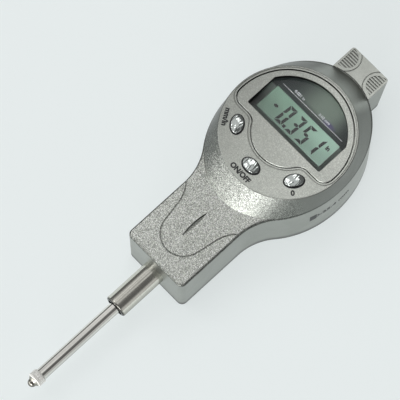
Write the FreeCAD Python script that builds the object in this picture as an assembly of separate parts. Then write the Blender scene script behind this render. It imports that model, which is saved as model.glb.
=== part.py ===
import FreeCAD, Part
import math
import os

from FreeCAD import Vector

# Electronic indicator with a plain stem. All sizes are in millimetres.
# The parts are laid out from the centre of the round head, on the back face: +Y runs along the spindle
# towards the end cap, +Z comes out of the face. On export they move to the datum, which is the point on
# the spindle axis where the stem leaves the body.

# Housing
head_half_width = 23.8
head_half_length = 29.8
neck_half_width = 12.5
neck_end = 58.3
flare_radius = 20.0
body_height = 21.5
face_height = 29.0
face_radius = 22.3
wall = 2.0
cover_gap = 0.1
edge_round = 0.8
corner_round = 2.0
face_edge_round = 0.35
ceiling_height = 26.2
neck_roof = body_height - wall
shoulder_inner_radius = 20.0

# Spindle and stem
axis_height = 9.5
stem_radius = 4.0
stem_bore = 3.0
stem_mouth_round = 0.7
stem_mouth = 75.5
stem_inner_end = 49.0
stem_seat_radius = 3.7
stem_fit = 0.02
spindle_radius = 2.05
spindle_foot = 107.2
spindle_top = 8.0
running_gap = 0.05
press_fit = 0.02
wiper_inset = 0.3
wiper_gap = 0.1
spindle_top_round = 0.5
top_hole_gap = 0.6
spindle_travel = 25.4
bushing_length = 11.2
wiper_length = 1.2
bumper_radius = 3.4
bumper_gap = 0.35

# Contact point
point_collar_radius = 2.55
point_collar_length = 3.0
point_nose_radius = 1.5
point_length = 5.2
point_thread_radius = 1.24
point_thread_length = 5.5
point_chamfer = 0.35
point_hole_spare = 0.5
thread_fit = 0.01

# Engraved bell line on the neck
bell_centre = -45.3
bell_radius = 7.5
bell_lean = 10.0
bell_side = 7.0
bell_flare = 13.0
bell_flare_end = 118.0
engraving = 0.22
panel_engraving = 0.14
grip_engraving = 0.16
flute_low = -46.2
flute_high = -35.2
flute_widest = -40.2
flute_half_width = 0.62
flute_depth = 0.9

# Display panel and window
panel_radius = 20.8
panel_corner = 3.6
panel_base = 4.5
panel_reverse = 4.0
panel_bulge = 11.8
panel_thickness = 2.0
panel_chamfer = 0.15
panel_gap = 0.32
bead_offset = 0.95
window_half_width = 16.2
window_base = 2.3
window_radius = 18.85
window_corner = 0.5
lens_margin = 0.8
lens_thickness = 1.2
lens_gap = 0.1
mask_thickness = 0.3
readout_half_width = 14.2
readout_low = -0.3
readout_high = 9.2

# Display cell and its holder
cell_margin = 1.0
cell_low = 23.4
cell_thickness = 2.0
cell_gap = 0.05
holder_wall = 1.2
holder_ledge = 0.8
holder_high = 25.0
holder_radius = 19.8
zebra_width = 1.4
zebra_inset = 0.6

# Boards
board_radius = 19.5
board_low = 19.2
board_thickness = 1.6
board_high = board_low + board_thickness
board_ear_half_width = 8.4
board_ear_start = 14.0
board_ear_end = 23.7
reader_low = 16.3
reader_thickness = 1.0
reader_half_width = 8.0
reader_start = -24.0
reader_end = 4.0
connector_half_length = 5.0
connector_width = 2.2
connector_places = [-13.0, 0.0]
chip_half_width = 4.2
chip_height = 1.0
chip_chamfer = 0.3
chip_place = (9.5, 5.0)
crystal_radius = 1.05
crystal_x = -10.5
crystal_start = 3.0
crystal_end = 10.5

# Buttons, on one circle around the face
button_circle = 16.3
button_spread = 52.5
button_long = 3.15
button_short = 2.05
button_high = face_height + 1.2
button_gap = 0.12
button_dome = 7.5
button_crown_round = 0.3
button_flange = 0.75
button_flange_thickness = 0.7
button_foot_radius = 1.0
button_foot_gap = 0.1
button_travel = 0.5
switch_half_length = 2.2
switch_half_width = 1.9
switch_body_height = 1.2
plunger_radius = 0.9
plunger_high = board_high + 1.8

# Chassis
chassis_low = 3.4
chassis_thickness = 2.0
chassis_high = chassis_low + chassis_thickness
chassis_inset = 2.6
chassis_start = -51.8
chassis_half_width = 9.3
chassis_arm_start = -28.0
chassis_arm_end = -10.0
chassis_arm_half_width = 19.6
chassis_tongue_half_width = 7.0
chassis_tongue_end = 9.0
block_half_width = 5.6
lower_block_start = -55.8
upper_block_start = 1.0
upper_block_end = 7.0
upper_block_high = 14.4
lower_block_high = 14.6
upper_bore = 3.2
set_screw_y = -52.5
set_screw_radius = 0.95

# Scale carriage
carrier_start = -46.0
carrier_end = -36.0
carrier_half_width = 5.0
carrier_low = 5.7
carrier_high = 14.9
strip_thickness = 0.8
strip_half_width = 4.5
strip_end = -14.0
guide_pin_radius = 0.8
guide_pin_step = 0.2
guide_pin_place = -41.0
guide_slot_margin = 1.6
clamp_screw_radius = 0.8
ear_half_width = 1.0
ear_thickness = 1.6
ear_step = 0.5

# Return spring
spring_x = -7.4
spring_mean_radius = 1.3
spring_wire = 0.25
spring_turns = 14
anchor_y = -50.8
moving_y = -37.2
post_radius = 0.5
post_high = 10.6
spring_ring_gap = 0.12
spring_lead = 0.5

# Battery tray and end cap
cap_half_width = 8.0
cap_end = 37.25
cap_draft_side = 0.85
cap_draft_end = 2.05
cap_low = 0.4
cap_gap = 0.15
cap_shoulder_gap = 0.4
cap_start = 24.0
cap_corner_round = 1.0
cap_spindle_gap = 0.85
cap_pocket_end = 35.65
rib_count = 8
grip_x = 7.3
grip_y = 33.1
grip_width = 4.1
grip_half_length = 3.7
grip_depth = 0.4
grip_line_reach = 62
grip_line_gap = 1.0
tray_half_width = 7.0
tray_low = 12.15
tray_high = 18.3
tray_start = 14.2
tray_gap = 0.15
cell_radius = 5.8
coin_low = 12.95
coin_height = 5.4
coin_y = 20.6
coin_lid_step = 0.9
coin_lid_height = 0.3
coin_round = 0.5
tray_ledge = 1.8
tray_notch_half_width = 3.0
tray_notch_length = 3.0
tray_opening_start = 22.0
tray_opening_end = 32.0
blade_half_width = 2.0
blade_start = 14.3
blade_thickness = 0.3
blade_foot_start = 12.4
strip_contact_half_width = 1.5
strip_contact_start = 15.8
strip_contact_bend = 19.0
strip_contact_end = 22.0
strip_contact_thickness = 0.25
contact_gap = 0.1

# Fasteners
rear_screw_places = [(-8.5, -54.2), (8.5, -54.2), (-11.6, 20.0), (11.6, 20.0)]
chassis_screw_places = [(-11.6, -22.2), (11.6, -22.2), (-17.2, -13.2), (17.2, -13.2)]
board_screw_places = [(-16.9, -5.0), (16.9, -5.0), (-6.5, 21.8), (6.5, 21.8)]
boss_radius = 2.1
chassis_boss_radius = 1.9
board_boss_radius = 1.6
upper_boss_high = 23.2
rear_hole_high = 9.0
chassis_hole_high = 12.0
chassis_head_radius = 1.4
screw_radius = 0.85
screw_hole = 0.9
clear_hole = 1.1
screw_head_radius = 1.75
screw_head_height = 1.1
screw_high = 8.0
screw_recess = 0.1
slot_half = 0.2
slot_depth = 0.5
chassis_head_height = 1.1
chassis_screw_length = 7.0
board_head_radius = 1.2
board_head_height = 0.7
board_screw_radius = 0.55
board_screw_length = 4.0
board_clear_hole = 0.7
board_screw_hole = 0.6
board_hole_depth = 3.4

# Tolerance when edges are picked by place, and the bite of one joined block into the next
tolerance = 0.01
bite = 0.5

up = Vector(0, 0, 1)
along = Vector(0, 1, 0)
across = Vector(1, 0, 0)


def box(x0, x1, y0, y1, z0, z1):
    return Part.makeBox(x1 - x0, y1 - y0, z1 - z0, Vector(x0, y0, z0))


def upright(radius, x, y, z0, z1):
    return Part.makeCylinder(radius, z1 - z0, Vector(x, y, z0), up)


def lengthwise(radius, y0, y1, x=0.0, z=axis_height):
    return Part.makeCylinder(radius, y1 - y0, Vector(x, y0, z), along)


def tube(outer, inner, y0, y1):
    return lengthwise(outer, y0, y1).cut(lengthwise(inner, y0 - 1, y1 + 1))


def ellipse_wire(half_x, half_y, z):
    edge = Part.Ellipse(Vector(0, 0, z), half_y, half_x).toShape()
    edge.rotate(Vector(0, 0, z), up, 90)
    return Part.Wire(edge)


def circle_wire(radius, z):
    edge = Part.makeCircle(radius, Vector(0, 0, z), up)
    edge.rotate(Vector(0, 0, z), up, 90)
    return Part.Wire(edge)


def arc(x, y, radius, start, end):
    circle = Part.Circle(Vector(x, y, 0), up, radius)
    return Part.Arc(circle, math.radians(start), math.radians(end)).toShape()


def line(x0, y0, x1, y1):
    return Part.makeLine(Vector(x0, y0, 0), Vector(x1, y1, 0))


def joined(edges):
    return Part.Wire(Part.__sortEdges__(edges))


def mirrored(edges):
    return [edge.mirror(Vector(0, 0, 0), Vector(1, 0, 0)) for edge in edges]


def raised(wire, z0, z1):
    face = Part.Face(wire)
    face.translate(Vector(0, 0, z0))
    return face.extrude(Vector(0, 0, z1 - z0))


def vertical_edges(shape, near):
    found = []
    for edge in shape.Edges:
        middle = edge.CenterOfMass
        flat = edge.BoundBox.XLength + edge.BoundBox.YLength
        if flat < tolerance and near(middle):
            found.append(edge)
    return found


def teardrop(inset, z0, z1):
    # Round head and straight neck, joined by concave flares.
    neck_half = neck_half_width - inset
    head = Part.Face(ellipse_wire(head_half_width - inset, head_half_length - inset, z0))
    head = head.extrude(Vector(0, 0, z1 - z0))
    neck = box(-neck_half, neck_half, inset - neck_end, 0, z0, z1)
    body = head.fuse(neck).removeSplitter()
    inner_corners = vertical_edges(body, lambda p: -head_half_length < p.y < -1)
    return body.makeFillet(flare_radius + inset, inner_corners)


def shoulder(half_x, half_y, z0, radius, z1):
    return Part.makeLoft([ellipse_wire(half_x, half_y, z0), circle_wire(radius, z1)], True, True)


def panel_outline(grow):
    # Follows the face, turns in under the window and bulges towards the middle button.
    outer = panel_radius + grow
    corner = panel_corner + grow
    reverse = panel_reverse - grow
    bulge = panel_bulge + grow
    base = -panel_base - grow
    corner_y = panel_corner - panel_base
    corner_x = math.sqrt((panel_radius - panel_corner) ** 2 - corner_y ** 2)
    reverse_y = -panel_base - panel_reverse
    reverse_x = math.sqrt((panel_bulge + panel_reverse) ** 2 - reverse_y ** 2)
    turn = math.degrees(math.atan2(corner_y, corner_x))
    meet = math.degrees(math.atan2(reverse_y, reverse_x))
    side = [
        arc(0, 0, outer, turn, 90),
        arc(corner_x, corner_y, corner, -90, turn),
        line(corner_x, base, reverse_x, base),
        arc(reverse_x, reverse_y, reverse, 90, 180 + meet),
        arc(0, 0, bulge, -90, meet),
    ]
    return joined(side + mirrored(side))


def window_outline(grow):
    half = window_half_width + grow
    radius = window_radius + grow
    top = math.sqrt(radius ** 2 - half ** 2)
    angle = math.degrees(math.asin(top / radius))
    base = -window_base - grow
    return joined([
        arc(0, 0, radius, angle, 180 - angle),
        line(half, top, half, base),
        line(half, base, -half, base),
        line(-half, base, -half, top),
    ])


def button_places():
    places = []
    for turn in (-button_spread, 0.0, button_spread):
        angle = math.radians(turn - 90)
        places.append((button_circle * math.cos(angle), button_circle * math.sin(angle), turn))
    return places


def button_prism(place, grow, z0, z1):
    oval = Part.Ellipse(Vector(0, 0, 0), button_long + grow, button_short + grow)
    face = Part.Face(Part.Wire(oval.toShape()))
    prism = face.extrude(Vector(0, 0, z1 - z0))
    prism.rotate(Vector(0, 0, 0), up, place[2])
    prism.translate(Vector(place[0], place[1], z0))
    return prism


def engraved_line(wire, radius, z):
    start = wire.OrderedEdges[0]
    parameter = start.FirstParameter if start.Orientation == "Forward" else start.LastParameter
    foot = start.valueAt(parameter)
    direction = start.tangentAt(parameter)
    profile = Part.Wire(Part.makeCircle(radius, foot, direction))
    groove = wire.makePipeShell([profile], True, True)
    groove.translate(Vector(0, 0, z))
    return groove


def neck_bell():
    # Bell-shaped line round the neck: a round foot, straight sides and ends that flare out to the edges.
    side_turn = math.radians(bell_lean)
    knee_x = bell_radius * math.cos(side_turn)
    knee_y = bell_centre - bell_radius * math.sin(side_turn)
    end_x = knee_x + bell_side * math.sin(side_turn)
    end_y = knee_y + bell_side * math.cos(side_turn)
    flare_x = end_x + bell_flare * math.cos(side_turn)
    flare_y = end_y - bell_flare * math.sin(side_turn)
    side = [
        line(knee_x, knee_y, end_x, end_y),
        arc(flare_x, flare_y, bell_flare, bell_flare_end, 180 - bell_lean),
    ]
    foot = arc(0, bell_centre, bell_radius, 180 + bell_lean, 360 - bell_lean)
    return joined(side + [foot] + mirrored(side))


def neck_flute(z):
    # Narrow leaf-shaped recess up the middle of the neck.
    foot = Vector(0, flute_low, 0)
    side = Vector(flute_half_width, flute_widest, 0)
    head = Vector(0, flute_high, 0)
    right = Part.Arc(foot, side, head).toShape()
    return raised(joined([right] + mirrored([right])), z - flute_depth, z + 1)


def shell_bosses():
    solids = []
    for x, y in rear_screw_places:
        high = neck_roof + bite if y < 0 else upper_boss_high
        solids.append(upright(boss_radius, x, y, wall, high))
    for x, y in chassis_screw_places:
        solids.append(upright(chassis_boss_radius, x, y, chassis_high, neck_roof + bite))
    for x, y in board_screw_places:
        high = ceiling_height + bite if y < 0 else upper_boss_high + bite
        solids.append(upright(board_boss_radius, x, y, board_high, high))
    return solids


def make_front_cover():
    lower = teardrop(0, 0, body_height)
    lower = lower.makeFillet(corner_round, vertical_edges(lower, lambda p: p.y < 1 - neck_end))
    rim = [e for e in lower.Edges if e.BoundBox.ZMin > body_height - tolerance]
    lower = lower.makeFillet(edge_round, rim)
    upper = shoulder(head_half_width, head_half_length, body_height - edge_round, face_radius, face_height)
    face_edge = [e for e in upper.Edges if e.BoundBox.ZMin > face_height - tolerance]
    upper = upper.makeFillet(face_edge_round, face_edge)
    shell = lower.fuse(upper)
    hollow = teardrop(wall, -1, neck_roof)
    inner_x = head_half_width - wall
    inner_y = head_half_length - wall
    dome = shoulder(inner_x, inner_y, neck_roof - bite, shoulder_inner_radius, ceiling_height)
    shell = shell.cut(hollow.fuse(dome))
    shell = shell.fuse(shell_bosses())
    shell = shell.cut(raised(panel_outline(panel_gap), face_height - panel_thickness, face_height + 1))
    shell = shell.cut(raised(window_outline(lens_margin + lens_gap), ceiling_height - 1, face_height))
    for place in button_places():
        shell = shell.cut(button_prism(place, button_gap, ceiling_height - 1, face_height + 1))
    shell = shell.cut(engraved_line(panel_outline(bead_offset), panel_engraving, face_height))
    shell = shell.cut(engraved_line(neck_bell(), engraving, body_height))
    shell = shell.cut(neck_flute(body_height))
    shell = shell.cut(lengthwise(stem_seat_radius + stem_fit, -neck_end - 1, wall + 1 - neck_end))
    top_hole = spindle_radius + top_hole_gap
    shell = shell.cut(lengthwise(top_hole, head_half_length - 2 * wall, head_half_length + 1))
    half = tray_half_width + tray_gap
    low = tray_low - tray_gap
    high = tray_high + 2 * tray_gap
    shell = shell.cut(box(-half, half, tray_opening_start, tray_opening_end, low, high))
    for x, y in rear_screw_places:
        shell = shell.cut(upright(screw_hole, x, y, wall - 1, rear_hole_high))
    for x, y in chassis_screw_places:
        shell = shell.cut(upright(screw_hole, x, y, chassis_high - 1, chassis_hole_high))
    for x, y in board_screw_places:
        shell = shell.cut(upright(board_screw_hole, x, y, board_high - 1, board_high + board_hole_depth))
    return shell


def make_rear_cover():
    plate = teardrop(wall + cover_gap, 0, wall)
    for x, y in rear_screw_places:
        plate = plate.cut(upright(clear_hole, x, y, -1, wall + 1))
        head_hole = screw_head_radius + screw_recess
        depth = screw_head_height + screw_recess
        plate = plate.cut(Part.makeCone(head_hole, clear_hole, depth, Vector(x, y, 0), up))
    return plate


def countersunk_screw(x, y):
    foot = Vector(x, y, screw_recess)
    head = Part.makeCone(screw_head_radius, screw_radius, screw_head_height, foot, up)
    screw = head.fuse(upright(screw_radius, x, y, screw_recess, screw_high))
    reach = screw_head_radius
    depth = screw_recess + slot_depth
    return screw.cut(box(x - reach, x + reach, y - slot_half, y + slot_half, 0, depth))


def cheese_screw(x, y, seat, head_radius, head_height, radius, length):
    # Head below the seat, shank pointing up.
    screw = upright(head_radius, x, y, seat - head_height, seat)
    screw = screw.fuse(upright(radius, x, y, seat - bite, seat + length))
    slot_end = seat - head_height + slot_depth
    slot = box(x - head_radius, x + head_radius, y - slot_half, y + slot_half, 0, slot_end)
    return screw.cut(slot)


def make_display_panel():
    panel = raised(panel_outline(0), face_height - panel_thickness, face_height)
    top = [e for e in panel.Edges if e.BoundBox.ZMin > face_height - tolerance]
    panel = panel.makeChamfer(panel_chamfer, top)
    hole = raised(window_outline(0), 0, face_height + 1)
    corners = vertical_edges(hole, lambda p: True)
    return panel.cut(hole.makeFillet(window_corner, corners))


def make_window_lens():
    high = face_height - panel_thickness
    return raised(window_outline(lens_margin), high - lens_thickness, high)


def make_display_mask():
    high = face_height - panel_thickness - lens_thickness
    mask = raised(window_outline(lens_margin), high - mask_thickness, high)
    half = readout_half_width
    return mask.cut(box(-half, half, readout_low, readout_high, 0, face_height))


def cell_box(grow, z0, z1):
    half = readout_half_width + cell_margin + grow
    low = readout_low - cell_margin - grow
    high = readout_high + cell_margin + grow
    return box(-half, half, low, high, z0, z1)


def make_lcd_glass():
    return cell_box(0, cell_low, cell_low + cell_thickness)


def make_lcd_holder():
    frame = cell_box(holder_wall, board_high, holder_high)
    frame = frame.cut(cell_box(cell_gap, cell_low, holder_high + 1))
    frame = frame.cut(cell_box(-holder_ledge, board_high - 1, cell_low + 1))
    return frame.common(upright(holder_radius, 0, 0, board_high, holder_high))


def make_zebra_connectors():
    half = readout_half_width - zebra_inset
    strips = []
    for y in (readout_low - zebra_inset / 4, readout_high + zebra_inset / 4 - zebra_width):
        strips.append(box(-half, half, y, y + zebra_width, board_high, cell_low))
    return Part.makeCompound(strips)


def make_main_board():
    board = upright(board_radius, 0, 0, board_low, board_high)
    half = board_ear_half_width
    ear = box(-half, half, board_ear_start, board_ear_end, board_low, board_high)
    board = board.fuse(ear).removeSplitter()
    for x, y in board_screw_places:
        board = board.cut(upright(board_clear_hole, x, y, board_low - 1, board_high + 1))
    return board


def make_board_screws():
    screws = []
    for x, y in board_screw_places:
        head = (board_head_radius, board_head_height)
        screws.append(cheese_screw(x, y, board_low, *head, board_screw_radius, board_screw_length))
    return Part.makeCompound(screws)


def make_processor_chip():
    half = chip_half_width
    chip = box(-half, half, -half, half, 0, chip_height)
    chip = chip.makeChamfer(chip_chamfer, [e for e in chip.Edges if e.BoundBox.ZMax < tolerance])
    chip.translate(Vector(chip_place[0], chip_place[1], board_low - chip_height))
    return chip


def make_clock_crystal():
    centre = board_low - crystal_radius
    can = lengthwise(crystal_radius, crystal_start, crystal_end, crystal_x, centre)
    rims = [e for e in can.Edges if e.BoundBox.ZLength > 1 and e.BoundBox.YLength < tolerance]
    return can.makeFillet(crystal_radius / 3, rims)


def make_button_switches():
    switches = []
    for x, y, turn in button_places():
        long, wide = switch_half_length, switch_half_width
        base = box(-long, long, -wide, wide, board_high, board_high + switch_body_height)
        base = base.fuse(upright(plunger_radius, 0, 0, board_high + 1, plunger_high))
        base.rotate(Vector(0, 0, 0), up, turn)
        base.translate(Vector(x, y, 0))
        switches.append(base)
    return Part.makeCompound(switches)


def make_button(place):
    flange_high = ceiling_height - button_foot_gap
    cap = button_prism(place, 0, flange_high, button_high)
    dome = Part.makeSphere(button_dome, Vector(place[0], place[1], button_high - button_dome))
    cap = cap.common(dome)
    crown = [e for e in cap.Edges if e.BoundBox.ZMin > face_height and e.BoundBox.XLength > 1]
    cap = cap.makeFillet(button_crown_round, crown)
    flange_low = flange_high - button_flange_thickness
    flange = button_prism(place, button_flange, flange_low, flange_high)
    foot_low = plunger_high + button_travel + button_foot_gap
    foot = upright(button_foot_radius, place[0], place[1], foot_low, flange_high)
    return cap.fuse([flange, foot]).removeSplitter()


def make_chassis():
    low, high = chassis_low, chassis_high
    half = chassis_half_width
    arm = chassis_arm_half_width
    tongue = chassis_tongue_half_width
    plate = box(-half, half, chassis_start, chassis_arm_end, low, high)
    plate = plate.fuse(box(-arm, arm, chassis_arm_start, chassis_arm_end, low, high))
    plate = plate.fuse(box(-tongue, tongue, chassis_arm_end, chassis_tongue_end, low, high))
    plate = plate.common(teardrop(chassis_inset, 0, body_height))
    half = block_half_width
    lower = box(-half, half, lower_block_start, -stem_inner_end, low, lower_block_high)
    upper = box(-half, half, upper_block_start, upper_block_end, low, upper_block_high)
    frame = plate.fuse([lower, upper]).removeSplitter()
    seat = stem_seat_radius + stem_fit
    frame = frame.cut(lengthwise(seat, lower_block_start - 1, 1 - stem_inner_end))
    frame = frame.cut(lengthwise(upper_bore, upper_block_start - 1, upper_block_end + 1))
    guide = guide_pin_radius + running_gap
    guide_start = guide_pin_place - guide_slot_margin
    guide_end = guide_pin_place + spindle_travel + guide_slot_margin
    frame = frame.cut(box(-guide, guide, guide_start, guide_end, low - 1, high + 1))
    for x, y in chassis_screw_places:
        frame = frame.cut(upright(clear_hole, x, y, low - 1, high + 1))
    frame = frame.cut(upright(post_radius + press_fit, spring_x, anchor_y, low - 1, high + 1))
    screw_bore = set_screw_radius + running_gap
    return frame.cut(upright(screw_bore, 0, set_screw_y, axis_height, lower_block_high + 1))


def make_chassis_screws():
    screws = []
    for x, y in chassis_screw_places:
        head = (chassis_head_radius, chassis_head_height)
        screws.append(cheese_screw(x, y, chassis_low, *head, screw_radius, chassis_screw_length))
    return Part.makeCompound(screws)


def make_stem():
    # The shoulder stands on the end of the neck, and the thinner seat goes in through it.
    stem = lengthwise(stem_radius, -stem_mouth, -neck_end)
    mouth = [e for e in stem.Edges if e.BoundBox.YMax < tolerance - stem_mouth]
    stem = stem.makeFillet(stem_mouth_round, mouth)
    stem = stem.fuse(lengthwise(stem_seat_radius, -neck_end - 1, -stem_inner_end))
    return stem.cut(lengthwise(stem_bore, -stem_mouth - 1, 1 - stem_inner_end)).removeSplitter()


def make_lower_bushing():
    start = wiper_inset + wiper_length + wiper_gap - stem_mouth
    return tube(stem_bore - press_fit, spindle_radius + running_gap, start, start + bushing_length)


def make_upper_bushing():
    bore = spindle_radius + running_gap
    return tube(upper_bore - press_fit, bore, upper_block_start, upper_block_end)


def make_dust_wiper():
    start = wiper_inset - stem_mouth
    return tube(stem_bore - press_fit, spindle_radius + wiper_gap, start, start + wiper_length)


def make_stem_set_screw():
    high = lower_block_high
    screw = upright(set_screw_radius, 0, set_screw_y, axis_height + stem_seat_radius, high)
    reach = 2 * set_screw_radius
    slot = box(-slot_half, slot_half, set_screw_y - reach, set_screw_y + reach, high - slot_depth, high + 1)
    return screw.cut(slot)


def make_stop_bumper():
    start = wiper_gap - stem_inner_end
    return tube(bumper_radius, spindle_radius + bumper_gap, start, carrier_start - running_gap)


def make_spindle():
    rod = lengthwise(spindle_radius, -spindle_foot, spindle_top)
    top = [e for e in rod.Edges if e.BoundBox.YMin > spindle_top - tolerance]
    rod = rod.makeFillet(spindle_top_round, top)
    hole_end = point_thread_length + point_hole_spare - spindle_foot
    return rod.cut(lengthwise(point_thread_radius + thread_fit, -spindle_foot - 1, hole_end))


def make_contact_point():
    # Threaded shank, collar with chamfered rims, tapered nose and a ball end.
    collar_end = point_collar_length
    chamfer = point_chamfer
    ball_start = point_length - point_nose_radius
    outline = [
        (0, -point_thread_length),
        (point_thread_radius, -point_thread_length),
        (point_thread_radius, 0),
        (point_collar_radius - chamfer, 0),
        (point_collar_radius, chamfer),
        (point_collar_radius, collar_end - chamfer),
        (point_collar_radius - chamfer, collar_end),
        (point_nose_radius, ball_start),
    ]
    edges = []
    for (r0, d0), (r1, d1) in zip(outline, outline[1:]):
        edges.append(Part.makeLine(Vector(r0, d0, 0), Vector(r1, d1, 0)))
    lean = math.sqrt(0.5) * point_nose_radius
    tip = Vector(0, point_length, 0)
    start = Vector(point_nose_radius, ball_start, 0)
    edges.append(Part.Arc(start, Vector(lean, ball_start + lean, 0), tip).toShape())
    edges.append(Part.makeLine(tip, Vector(0, -point_thread_length, 0)))
    profile = Part.Face(Part.Wire(edges))
    point = profile.revolve(Vector(0, 0, 0), along, 360)
    point.rotate(Vector(0, 0, 0), across, 180)
    point.translate(Vector(0, -spindle_foot, axis_height))
    return point


def make_scale_carrier():
    half = carrier_half_width
    block = box(-half, half, carrier_start, carrier_end, carrier_low, carrier_high)
    ear_low = carrier_low + ear_step
    ear_start = moving_y - ear_half_width
    ear_edge = spring_x - ear_half_width
    ear = box(ear_edge, -half, ear_start, carrier_end, ear_low, ear_low + ear_thickness)
    block = block.fuse(ear).removeSplitter()
    block = block.cut(lengthwise(spindle_radius + press_fit, carrier_start - 1, carrier_end + 1))
    pin_bore = guide_pin_radius + press_fit
    block = block.cut(upright(pin_bore, 0, guide_pin_place, carrier_low - 1, axis_height))
    centre = Vector(0, guide_pin_place, axis_height)
    block = block.cut(Part.makeCylinder(clamp_screw_radius + press_fit, half, centre, across))
    return block.cut(upright(post_radius + press_fit, spring_x, moving_y, carrier_low - 1, carrier_high))


def make_carrier_clamp_screw():
    start = spindle_radius + press_fit
    end = carrier_half_width
    foot = Vector(start, guide_pin_place, axis_height)
    screw = Part.makeCylinder(clamp_screw_radius, end - start, foot, across)
    low_y, high_y = guide_pin_place - slot_half, guide_pin_place + slot_half
    low_z, high_z = axis_height - 2 * clamp_screw_radius, axis_height + 2 * clamp_screw_radius
    return screw.cut(box(end - slot_depth, end + 1, low_y, high_y, low_z, high_z))


def make_guide_pin():
    high = axis_height - spindle_radius - running_gap
    return upright(guide_pin_radius, 0, guide_pin_place, chassis_low + guide_pin_step, high)


def make_scale_strip():
    high = carrier_high + strip_thickness
    return box(-strip_half_width, strip_half_width, carrier_start, strip_end, carrier_high, high)


def make_reader_board():
    half = reader_half_width
    return box(-half, half, reader_start, reader_end, reader_low, reader_low + reader_thickness)


def make_board_connectors():
    low = reader_low + reader_thickness
    half = connector_half_length
    blocks = [box(-half, half, y, y + connector_width, low, board_low) for y in connector_places]
    return Part.makeCompound(blocks)


def make_return_spring():
    # Close-wound extension spring with a ring at each end, one round each post.
    ring_radius = post_radius + spring_wire + spring_ring_gap
    start = anchor_y + ring_radius + spring_lead
    end = moving_y - ring_radius - spring_lead
    helix = Part.makeHelix((end - start) / spring_turns, end - start, spring_mean_radius)
    profile = Part.Wire(Part.makeCircle(spring_wire, Vector(spring_mean_radius, 0, 0), along))
    coil = Part.Wire(helix).makePipeShell([profile], True, True)
    coil.rotate(Vector(0, 0, 0), across, -90)
    coil.translate(Vector(spring_x, start, axis_height))
    pieces = []
    for y, side in ((anchor_y, 1), (moving_y, -1)):
        ring = Part.makeTorus(ring_radius, spring_wire, Vector(spring_x, y, axis_height), up)
        foot = Vector(spring_x, y + side * ring_radius, axis_height)
        knee_y = y + side * (ring_radius + spring_lead)
        knee = Vector(spring_x + spring_mean_radius, knee_y, axis_height)
        arm = Part.makeCylinder(spring_wire * 0.9, (knee - foot).Length, foot, knee - foot)
        ball = Part.makeSphere(spring_wire * 1.02, knee)
        pieces += [ring, arm, ball]
    return coil.fuse(pieces)


def make_spring_anchor_post():
    return upright(post_radius, spring_x, anchor_y, chassis_low, post_high)


def make_spring_moving_post():
    return upright(post_radius, spring_x, moving_y, carrier_low + ear_step, post_high)


def make_battery_tray():
    half = tray_half_width
    tray = box(-half, half, tray_start, head_half_length + 2, tray_low, tray_high)
    tray = tray.common(teardrop(-cap_gap, 0, body_height))
    tray = tray.cut(upright(cell_radius + contact_gap, 0, coin_y, coin_low, tray_high + 1))
    tray = tray.cut(upright(cell_radius - tray_ledge, 0, coin_y, tray_low - 1, tray_high))
    notch = tray_notch_half_width
    notch_end = tray_start + tray_notch_length
    return tray.cut(box(-notch, notch, tray_start - 1, notch_end, coin_low, tray_high + 1))


def make_coin_cell():
    high = coin_low + coin_height
    can = upright(cell_radius, 0, coin_y, coin_low, high - coin_lid_height)
    lid = upright(cell_radius - coin_lid_step, 0, coin_y, coin_low, high)
    cell = can.fuse(lid)
    foot = [e for e in cell.Edges if e.BoundBox.ZMax < coin_low + tolerance]
    return cell.makeFillet(coin_round, foot)


def make_battery_contact_positive():
    half = blade_half_width
    end = blade_start + blade_thickness
    blade = box(-half, half, blade_start, end, coin_low + 4 * contact_gap, board_low)
    foot = box(-half, half, blade_foot_start, end, board_low - blade_thickness, board_low)
    return blade.fuse(foot).removeSplitter()


def make_battery_contact_negative():
    coin_top = coin_low + coin_height
    half = strip_contact_half_width
    low = coin_top + contact_gap
    high = low + strip_contact_thickness
    strip = box(-half, half, strip_contact_start, strip_contact_end, low, high)
    block = box(-half, half, strip_contact_bend, strip_contact_end, low, board_low)
    return strip.fuse(block).removeSplitter()


def cap_section(z, shrink_side, shrink_end):
    half = cap_half_width - shrink_side
    end = cap_end - shrink_end
    start = cap_start
    corners = [(-half, start), (half, start), (half, end), (-half, end), (-half, start)]
    return Part.makePolygon([Vector(x, y, z) for x, y in corners])


def grip_recess(side):
    # D-shaped scoop beside one edge of the block, with ribs left standing across it.
    low = body_height - grip_depth
    oval = Part.Ellipse(Vector(0, 0, 0), grip_width, grip_half_length)
    scoop = Part.Face(Part.Wire(oval.toShape()))
    scoop.translate(Vector(side * grip_x, grip_y, low))
    recess = scoop.extrude(Vector(0, 0, grip_depth + 1))
    inner = side * (grip_x - grip_width)
    outer = side * grip_x
    low_x, high_x = min(inner, outer), max(inner, outer)
    recess = recess.common(box(low_x, high_x, cap_start, cap_end, low, body_height + 1))
    pitch = 2 * grip_half_length / rib_count
    ribs = []
    for index in range(rib_count):
        y = grip_y - grip_half_length + (index + 0.5) * pitch
        ribs.append(box(low_x, high_x, y - pitch / 4, y + pitch / 4, low, body_height - grip_depth / 4))
    return recess.cut(Part.makeCompound(ribs))


def grip_line(side):
    centre = 180 if side > 0 else 0
    radius = grip_width + grip_line_gap
    edge = arc(side * grip_x, grip_y, radius, centre - grip_line_reach, centre + grip_line_reach)
    return engraved_line(Part.Wire(edge), grip_engraving, body_height)


def head_clearance():
    # The head grown by the gap; above the wall it leans in with the shoulder.
    wall_high = body_height - edge_round
    gap = cap_shoulder_gap
    half_x, half_y = head_half_width + gap, head_half_length + gap
    lean = shoulder(half_x, half_y, wall_high, face_radius + gap, face_height)
    return teardrop(-cap_gap, -1, wall_high).fuse(lean)


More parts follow.
